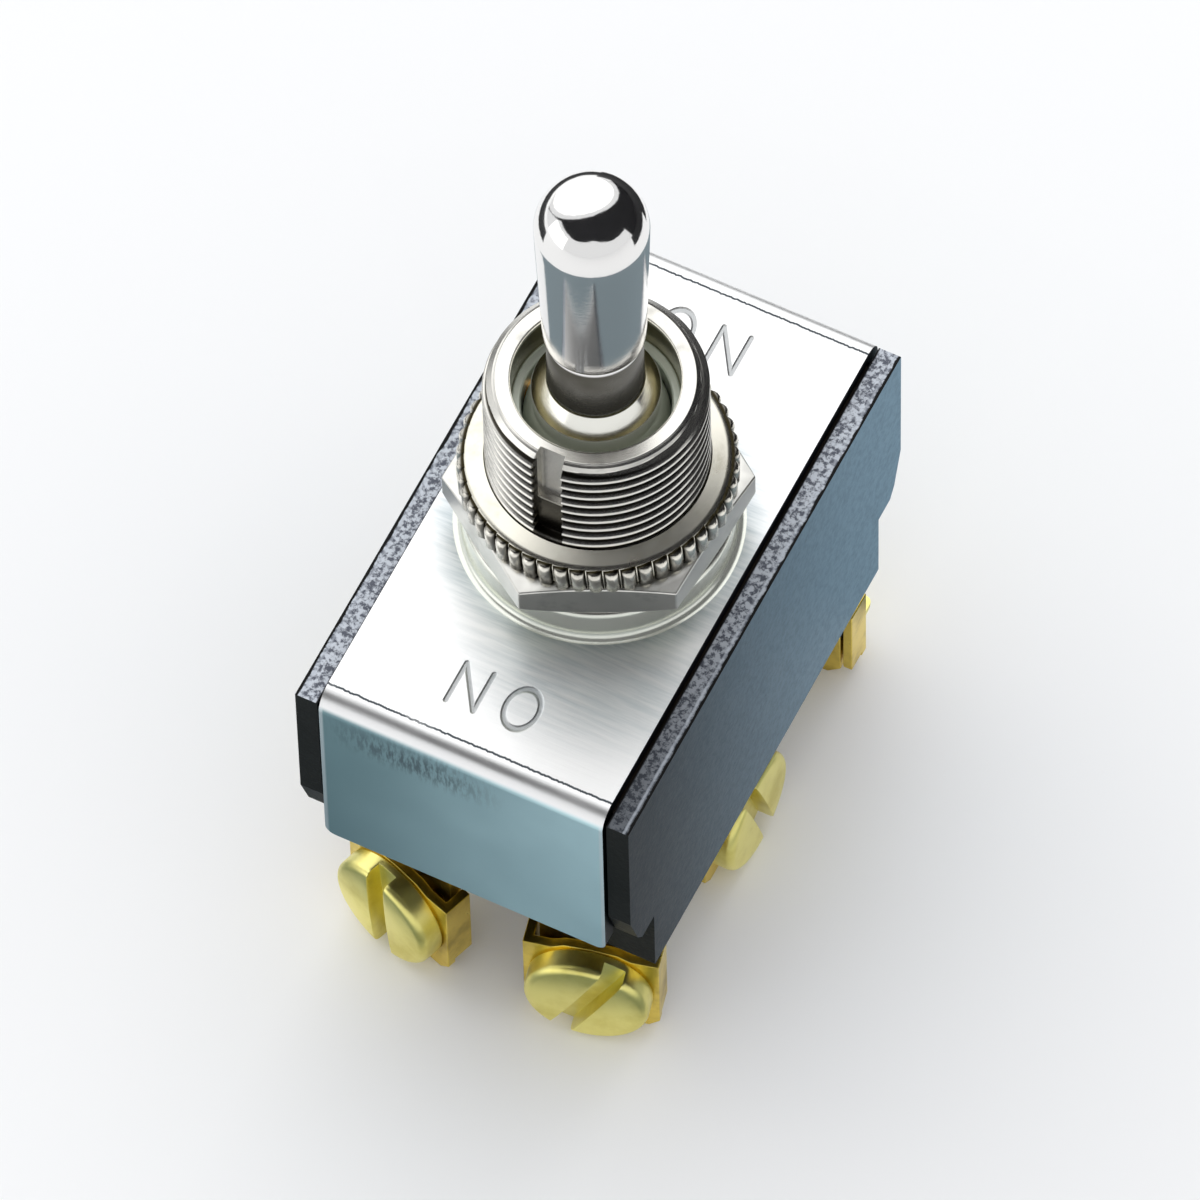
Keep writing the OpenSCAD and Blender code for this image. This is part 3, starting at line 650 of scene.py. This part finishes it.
def make_lever():
    """Tail, ball, skirt, neck and bat, turned in one piece, with a fine ring and dimple on the tip."""
    outline = [(0.0, -TAIL_DEPTH), (TAIL_R, -TAIL_DEPTH)]
    outline += [(TAIL_R, PIVOT_Z - math.sqrt(BALL_R ** 2 - TAIL_R ** 2))]
    outline += arc(0, PIVOT_Z, BALL_R, -62, 32, 40)
    outline += [(3.42, SKIRT_FOOT), (3.36, 13.42), (3.02, 13.83), (2.68, 14.24)]
    outline += arc(NECK_R + 0.25, SKIRT_TOP, 0.25, 225, 180, 5) + [(NECK_R, BAT_FOOT_Z - 0.02)]
    round_top = BAT_FOOT_Z + BAT_FOOT_ROUND
    outline += arc(BAT_FOOT_R - BAT_FOOT_ROUND, round_top, BAT_FOOT_ROUND, -60, 0, 8)
    steps = 12
    for k in range(1, steps + 1):
        along = k / steps
        bat_r = BAT_FOOT_R + (BAT_R - BAT_FOOT_R) * along
        outline.append((bat_r, round_top + (BAT_TOP_Z - round_top) * along))
    outline += arc(0, BAT_TOP_Z, BAT_R, 2, 76, 36)
    tip = BAT_TOP_Z + BAT_R
    outline += [(0.62, tip - 0.065), (0.52, tip - 0.07), (0.42, tip - 0.09)]
    outline += [(0.3, tip - 0.10), (0.0, tip - 0.105)]
    return finish_mesh("lever_bat", lathe(outline, even_angles(128)), BRIGHT, 50.0)


lever = make_lever()
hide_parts("lever")
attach(lever, "lever")


# ------------------------------------------------------------------ knurled ring nut

def knurl_tree(material):
    """Copies one tooth round a circle, by count, the circle's radius and height, and the teeth's lean."""
    tree = bpy.data.node_groups.new("knurl_teeth", "GeometryNodeTree")
    face = tree.interface
    face.new_socket("Geometry", in_out="INPUT", socket_type="NodeSocketGeometry")
    for label, kind, value in (("Teeth", "NodeSocketInt", 48), ("Radius", "NodeSocketFloat", 0.007),
                               ("Height", "NodeSocketFloat", 0.0055), ("Lean", "NodeSocketFloat", 0.0)):
        made = face.new_socket(label, in_out="INPUT", socket_type=kind)
        made.default_value = value
    face.new_socket("Geometry", in_out="OUTPUT", socket_type="NodeSocketGeometry")

    def add(kind, settings=(), **links):
        made = tree.nodes.new(kind)
        for label, value in dict(settings).items():
            setattr(made, label, value)
        for label, value in links.items():
            socket = made.inputs[label.replace("_", " ")]
            if hasattr(value, "is_output"):
                tree.links.new(value, socket)
            else:
                socket.default_value = value
        return made

    source = add("NodeGroupInput")
    circle = add("GeometryNodeMeshCircle", Vertices=source.outputs["Teeth"], Radius=source.outputs["Radius"])
    place = add("ShaderNodeCombineXYZ", Z=source.outputs["Height"])
    lifted = add("GeometryNodeSetPosition", Geometry=circle.outputs[0], Offset=place.outputs[0])
    position = add("GeometryNodeInputPosition")
    flat = tree.nodes.new("ShaderNodeVectorMath")
    flat.operation = "MULTIPLY"
    tree.links.new(position.outputs[0], flat.inputs[0])
    flat.inputs[1].default_value = (1, 1, 0)
    outward = add("FunctionNodeAlignRotationToVector", {"axis": "X"}, Vector=flat.outputs[0])
    tilt = add("ShaderNodeCombineXYZ", X=source.outputs["Lean"])
    turned = add("FunctionNodeRotateRotation", {"rotation_space": "LOCAL"},
                 Rotation=outward.outputs[0], Rotate_By=tilt.outputs[0])
    copies = add("GeometryNodeInstanceOnPoints", Points=lifted.outputs[0],
                 Instance=source.outputs["Geometry"], Rotation=turned.outputs[0])
    real = add("GeometryNodeRealizeInstances", Geometry=copies.outputs[0])
    coated = add("GeometryNodeSetMaterial", Geometry=real.outputs[0], Material=material)
    result = add("NodeGroupOutput")
    tree.links.new(coated.outputs[0], result.inputs[0])
    return tree


def grow(source, tree, name, **inputs):
    """Runs a node tree on an object and keeps the plain mesh it makes."""
    modifier = source.modifiers.new("grow", "NODES")
    modifier.node_group = tree
    for item in tree.interface.items_tree:
        if item.item_type == "SOCKET" and item.in_out == "INPUT" and item.name in inputs:
            modifier[item.identifier] = inputs[item.name]
    mesh = settled(source)
    made = bpy.data.objects.new(name, mesh)
    mesh.name = name
    bpy.context.scene.collection.objects.link(made)
    bpy.data.objects.remove(source)
    return made


def make_tooth(height):
    """One rounded tooth, pointing along X, with its back sunk into the ring's body."""
    bm = bmesh.new()
    width, back = 0.84 * MM, -0.45 * MM
    rows = []
    # each row's height and reach, as shares of the tooth's own
    for at, share in ((-0.5, 0.45), (-0.40, 0.92), (0.30, 1.0), (0.42, 0.82), (0.5, 0.35)):
        z, out = at * height * MM, TOOTH_DEPTH * share * MM
        half = [(back, 0.5), (0, 0.5), (out * 0.72, 0.34), (out, 0.13)]
        corners = [(x, -width * w, z) for x, w in half] + [(x, width * w, z) for x, w in reversed(half)]
        rows.append([bm.verts.new(corner) for corner in corners])
    count = len(rows[0])
    for lower, upper in zip(rows, rows[1:]):
        for i in range(count):
            j = (i + 1) % count
            bm.faces.new((lower[i], lower[j], upper[j], upper[i]))
    bm.faces.new(rows[0][::-1])
    bm.faces.new(rows[-1])
    return finish_mesh("knurl_tooth", bm, KNURL_NICKEL, 50.0)


def make_knurled_nut():
    body_r = RING_R - TOOTH_DEPTH
    inner_r = THREAD_R - 0.02
    outline = [(inner_r, NUT_TOP), (body_r - 0.25, NUT_TOP), (body_r, NUT_TOP + 0.25)]
    outline += [(body_r, RING_TOP - 0.52)]
    # the sloping band on top, from its outer edge in
    band_inner, step_out, step_down = THREAD_R + 0.05, 0.25, 0.095
    outline += [(band_inner + step_out * i, RING_TOP - step_down * i) for i in (4, 3, 2, 1, 0)]
    outline += [(inner_r, RING_TOP - 0.07)]
    ring = finish_mesh("knurled_nut_ring", lathe(outline, even_angles(144)), RING_NICKEL, 40.0)
    tooth = make_tooth(RING_TOP - NUT_TOP - 0.46)
    teeth = grow(tooth, knurl_tree(KNURL_NICKEL), "knurled_nut_teeth", Teeth=TOOTH_COUNT,
                 Radius=body_r * MM, Height=(NUT_TOP + RING_TOP - 0.34) / 2 * MM, Lean=TOOTH_LEAN)
    return ring, teeth


knurl_ring, knurl_teeth = make_knurled_nut()
for piece in (knurl_ring, knurl_teeth):
    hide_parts("knurled_nut")
    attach(piece, "switch")


# ------------------------------------------------------------------ terminal screws

def screw_outline():
    """A threaded shank below its head's underside, and a round head above it."""
    outline = [(0.0, -4.2), (1.35, -4.2), (1.62, -3.95)]
    turns, pitch = 12, 0.32
    for k in range(turns):
        z = -3.9 + k * pitch
        outline += [(1.45, z), (1.70, z + 0.13), (1.70, z + 0.19)]
    edge, crown = 0.12, 0.48
    outline += [(1.6, 0.0), (SCREW_HEAD_R - edge, 0.0), (SCREW_HEAD_R, edge)]
    outline += [(SCREW_HEAD_R, SCREW_HEAD_H - 0.5)]
    outline += arc(SCREW_HEAD_R - crown, SCREW_HEAD_H - crown, crown, 5, 84, 8)
    outline += [(SCREW_HEAD_R - 1.2, SCREW_HEAD_H + 0.06), (0.0, SCREW_HEAD_H + 0.12)]
    return outline


def slot_cutter(name, slot_turn):
    """A long bar that cuts the head's slot, turned about the screw's axis."""
    slot_half, slot_depth, bar_height = 0.64, 1.0, 2.0
    bm = bmesh.new()
    bmesh.ops.create_cube(bm, size=1.0)
    bmesh.ops.scale(bm, verts=bm.verts, vec=(2 * slot_half * MM, 12 * MM, bar_height * MM))
    lift = SCREW_HEAD_H - slot_depth + bar_height / 2
    bmesh.ops.translate(bm, verts=bm.verts, vec=(0, 0, lift * MM))
    cutter = finish_mesh(name, bm, SCREW_BRASS)
    cutter.data.transform(Matrix.Rotation(math.radians(slot_turn), 4, "Z"))
    return cutter


def make_screw(name, where, facing, slot_turn):
    """A round slotted head on a threaded shank, its axis along facing and its head's underside at where."""
    head = finish_mesh(name, lathe(screw_outline(), even_angles(64)), SCREW_BRASS, 40.0)
    cutter = slot_cutter(name + "_cutter", slot_turn)
    cut = head.modifiers.new("slot", "BOOLEAN")
    cut.object = cutter
    cut.operation = "DIFFERENCE"
    cut.solver = "EXACT"
    soft = head.modifiers.new("soft", "BEVEL")
    soft.width = 0.05 * MM
    soft.segments = 2
    soft.limit_method = "ANGLE"
    soft.angle_limit = math.radians(50)
    mesh = settled(head)
    head.modifiers.clear()
    head.data = mesh
    bpy.data.objects.remove(cutter)
    up = Vector((0, 0, 1))
    out = Vector(facing).normalized()
    side = up.cross(out).normalized()
    turn = Matrix((side, up, out)).transposed().to_4x4()
    mesh.transform(Matrix.Translation(Vector(where) * MM) @ turn)
    mesh.shade_smooth()
    mesh.set_sharp_from_angle(angle=math.radians(40))
    return head


def end_facing(twist):
    """Which way an end screw looks, twisted from straight out by some degrees."""
    a = math.radians(twist)
    return (math.sin(a), -math.cos(a), 0.0)


# each screw's centre, the way it faces, and how far its slot is turned
SCREWS = {
    "left_near": ((-5.4, -11.9), end_facing(-19), 4),
    "right_near": ((5.4, -11.9), end_facing(13), -26),
    "left_far": ((-5.4, 11.9), end_facing(180), 35),
    "right_far": ((5.4, 11.9), end_facing(180), 80),
    "left_middle": ((-6.4, 0.0), (-1.0, 0.0, 0.0), 60),
    "right_middle": ((6.4, 0.0), (1.0, 0.0, 0.0), 18),
}
for place, (centre, facing, slot_turn) in SCREWS.items():
    seat = (centre[0] + facing[0] * SCREW_OUT, centre[1] + facing[1] * SCREW_OUT, SCREW_Z)
    screw = make_screw("terminal_screw_" + place, seat, facing, slot_turn)
    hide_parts("screw_" + place)
    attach(screw, "switch")


# ------------------------------------------------------------------ finishes on the solids

def coat(node, material):
    """Gives a solid its finish and leaves its mesh alone."""
    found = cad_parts[node]
    found.data.materials.clear()
    found.data.materials.append(material)


def eased(node, material, width):
    """A copy of a solid with its sharp edges broken by a small round, which takes the solid's place."""
    bm = bmesh.new()
    bm.from_mesh(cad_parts[node].data)
    bmesh.ops.remove_doubles(bm, verts=bm.verts, dist=2e-6)
    bmesh.ops.dissolve_limit(bm, angle_limit=math.radians(0.5), verts=bm.verts, edges=bm.edges)
    made = finish_mesh(node + "_eased", bm, material, 35.0)
    ease = made.modifiers.new("ease", "BEVEL")
    ease.width = width * MM
    ease.segments = 2
    ease.limit_method = "ANGLE"
    ease.angle_limit = math.radians(40)
    ease.harden_normals = True
    mesh = settled(made)
    made.modifiers.clear()
    made.data = mesh
    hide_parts(node)
    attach(made, "switch")


NUT_EASE = 0.14
BRASS_EASE = 0.07
coat("frame", ZINC)
eased("hex_nut", NUT_NICKEL, NUT_EASE)
coat("seat_collar", STEEL)
coat("liner", FIBRE)
coat("base", PHENOLIC)
coat("pivot_pin", PIN_BRASS)
coat("actuator", NYLON)
coat("fixed_contacts", SILVER)
for side in ("left", "right"):
    coat("spring_" + side, WIRE)
    coat("plunger_" + side, NYLON)
    coat("rocker_" + side, COPPER)
    coat("moving_contacts_" + side, SILVER)
for side in ("left", "right"):
    for place in ("near", "middle", "far"):
        eased("terminal_" + side + "_" + place, BRASS, BRASS_EASE)
        eased("clamp_" + side + "_" + place, BRASS, BRASS_EASE)


# ------------------------------------------------------------------ floor, light and camera

def panel(name, centre, target, width, height, color, strength):
    """A flat light that faces a point."""
    light = bpy.data.lights.new(name, "AREA")
    light.shape = "RECTANGLE"
    light.size = width
    light.size_y = height
    light.color = color
    light.energy = strength
    made = bpy.data.objects.new(name, light)
    made.location = centre
    made.rotation_euler = (Vector(target) - Vector(centre)).to_track_quat("-Z", "Y").to_euler()
    bpy.context.scene.collection.objects.link(made)
    return made


def round_light(name, way, distance, spread, color, strength):
    """A round soft light that faces the middle, its rim at an angle of spread from its centre."""
    made = panel(name, Vector(way).normalized() * distance, MIDDLE, 1.0, 1.0, color, strength)
    made.data.shape = "DISK"
    made.data.size = 2 * distance * math.tan(math.radians(spread))


def way_to(azimuth, elevation):
    """A unit vector towards an azimuth and an elevation, in degrees."""
    a, e = math.radians(azimuth), math.radians(elevation)
    return Vector((math.cos(a) * math.cos(e), math.sin(a) * math.cos(e), math.sin(e)))


def reflected_only(name, bm, tone):
    """A plain card that shows only in glossy reflections and casts no shadow."""
    f = Finish(name, tone, Roughness=0.9)
    made = finish_mesh(name, bm, f.material)
    made.visible_camera = False
    made.visible_shadow = False
    made.visible_diffuse = False
    made.visible_transmission = False


def floor_card(name, inner, outer, start, end, tone):
    """A flat band on the floor round the object, from one azimuth to another."""
    bm = bmesh.new()
    steps = 96
    z = floor_z + CARD_LIFT
    rows = []
    for i in range(steps + 1):
        angle = math.radians(start + (end - start) * i / steps)
        rows.append([bm.verts.new((r * math.cos(angle), r * math.sin(angle), z)) for r in (inner, outer)])
    for first, second in zip(rows, rows[1:]):
        bm.faces.new((first[0], second[0], second[1], first[1]))
    reflected_only(name, bm, tone)


def horizon_at(azimuth, horizon):
    """The elevation of a horizon of (azimuth, elevation) corners, at an azimuth."""
    left, right = [pair for pair in zip(horizon, horizon[1:]) if pair[0][0] <= azimuth <= pair[1][0]][0]
    share = (azimuth - left[0]) / (right[0] - left[0])
    return left[1] + (right[1] - left[1]) * share


def sky_card(name, radius, horizon, key_way, key_spread, tone):
    """A plain dome from a horizon up to the top, or up to the round key where that comes first."""
    key = Vector(key_way).normalized()
    key_edge = math.cos(math.radians(key_spread))
    steps, climb, top = 24, 0.5, 89.5
    bm = bmesh.new()
    rows = []
    for azimuth in range(horizon[0][0], horizon[-1][0] + 1):
        low = high = horizon_at(azimuth, horizon)
        while high < top and way_to(azimuth, high + climb).dot(key) <= key_edge:
            high += climb
        heights = [low + (high - low) * step / steps for step in range(steps + 1)]
        rows.append([bm.verts.new(radius * way_to(azimuth, height)) for height in heights])
    for first, second in zip(rows, rows[1:]):
        for step in range(steps):
            bm.faces.new((first[step], second[step], second[step + 1], first[step + 1]))
    reflected_only(name, bm, tone)


floor_z = cad_box[0][2]
bm = bmesh.new()
bmesh.ops.create_grid(bm, x_segments=1, y_segments=1, size=3.0)
bmesh.ops.translate(bm, verts=bm.verts, vec=(0, 0, floor_z))
floor_finish = Finish("floor_pale", (0.93, 0.93, 0.93), Roughness=0.9)
floor_finish.feed("Roughness", floor_finish.noise(30.0) * 0.1 + 0.85)
floor = finish_mesh("floor", bm, floor_finish.material)

# The studio, in metres and degrees: a white room with one big round light, and cards seen only in
# reflections that paint a dark stretch of wall and ceiling round that light, and grey and dark patches
# on the floor. Bright plate mirrors all of it.
MIDDLE = (0, 0, 0)
KEY_WAY = (-0.52, 0.52, 0.68)
# angle from the round light's middle at which the dark begins
KEY_DARK_FROM = 54
CARD_LIFT = 0.0006
WHITE = (1.0, 1.0, 1.0)
NEAR_BLACK = (0.008, 0.008, 0.010)
SOFT_BLACK = (0.010, 0.010, 0.012)
BLUE_GREY = (0.20, 0.25, 0.275)
DARK_HORIZON = [(-206, -3), (-184, 0), (-168, 16), (-150, 32), (-120, 31), (-92, 29), (-60, 36), (-20, 24),
                (14, 20), (18, -3), (98, -3)]
# name, inner and outer radius, first and last azimuth, tone
FLOOR_CARDS = [
    ("card_floor_right", 0.019, 0.042, -176, 135, BLUE_GREY),
    ("card_floor_left", 0.019, 0.027, 135, 184, BLUE_GREY),
    ("floor_dark_right", 0.13, 0.76, 14, 62, NEAR_BLACK),
    ("floor_dark_back", 0.075, 0.76, 62, 112, NEAR_BLACK),
    ("floor_dark_left", 0.10, 0.30, 112, 205, SOFT_BLACK),
]
round_light("key_round", KEY_WAY, 0.80, 47, WHITE, 4.4)
panel("fill_left", (-0.63, -0.61, 0.13), MIDDLE, 0.68, 0.52, WHITE, 0.7)
sky_card("dark_room", 0.72, DARK_HORIZON, KEY_WAY, KEY_DARK_FROM, NEAR_BLACK)
for card in FLOOR_CARDS:
    floor_card(*card)

world = bpy.data.worlds.new("studio")
world.use_nodes = True
background = world.node_tree.nodes["Background"]
background.inputs["Color"].default_value = (0.97, 0.98, 1.0, 1)
background.inputs["Strength"].default_value = 0.86
bpy.context.scene.world = world

CAMERA_AZIMUTH = math.radians(27.834)
CAMERA_ELEVATION = math.radians(59.523)
CAMERA_ROLL = math.radians(-1.588)
CAMERA_PLACE = (0.203038, -0.38476, 0.730709)
flat = math.cos(CAMERA_ELEVATION)
back = Vector((math.sin(CAMERA_AZIMUTH) * flat, -math.cos(CAMERA_AZIMUTH) * flat, math.sin(CAMERA_ELEVATION)))
right = Vector((math.cos(CAMERA_AZIMUTH), math.sin(CAMERA_AZIMUTH), 0))
up = back.cross(right)
camera_right = math.cos(CAMERA_ROLL) * right + math.sin(CAMERA_ROLL) * up
camera_up = -math.sin(CAMERA_ROLL) * right + math.cos(CAMERA_ROLL) * up
lens = bpy.data.cameras.new("camera")
lens.sensor_width = 36.0
lens.lens = 484.5
lens.clip_end = 10.0
camera = bpy.data.objects.new("camera", lens)
rotation = Matrix((camera_right, camera_up, back)).transposed().to_4x4()
camera.matrix_world = Matrix.Translation(CAMERA_PLACE) @ rotation
bpy.context.scene.collection.objects.link(camera)
bpy.context.scene.camera = camera
bpy.context.scene.view_settings.view_transform = "Standard"
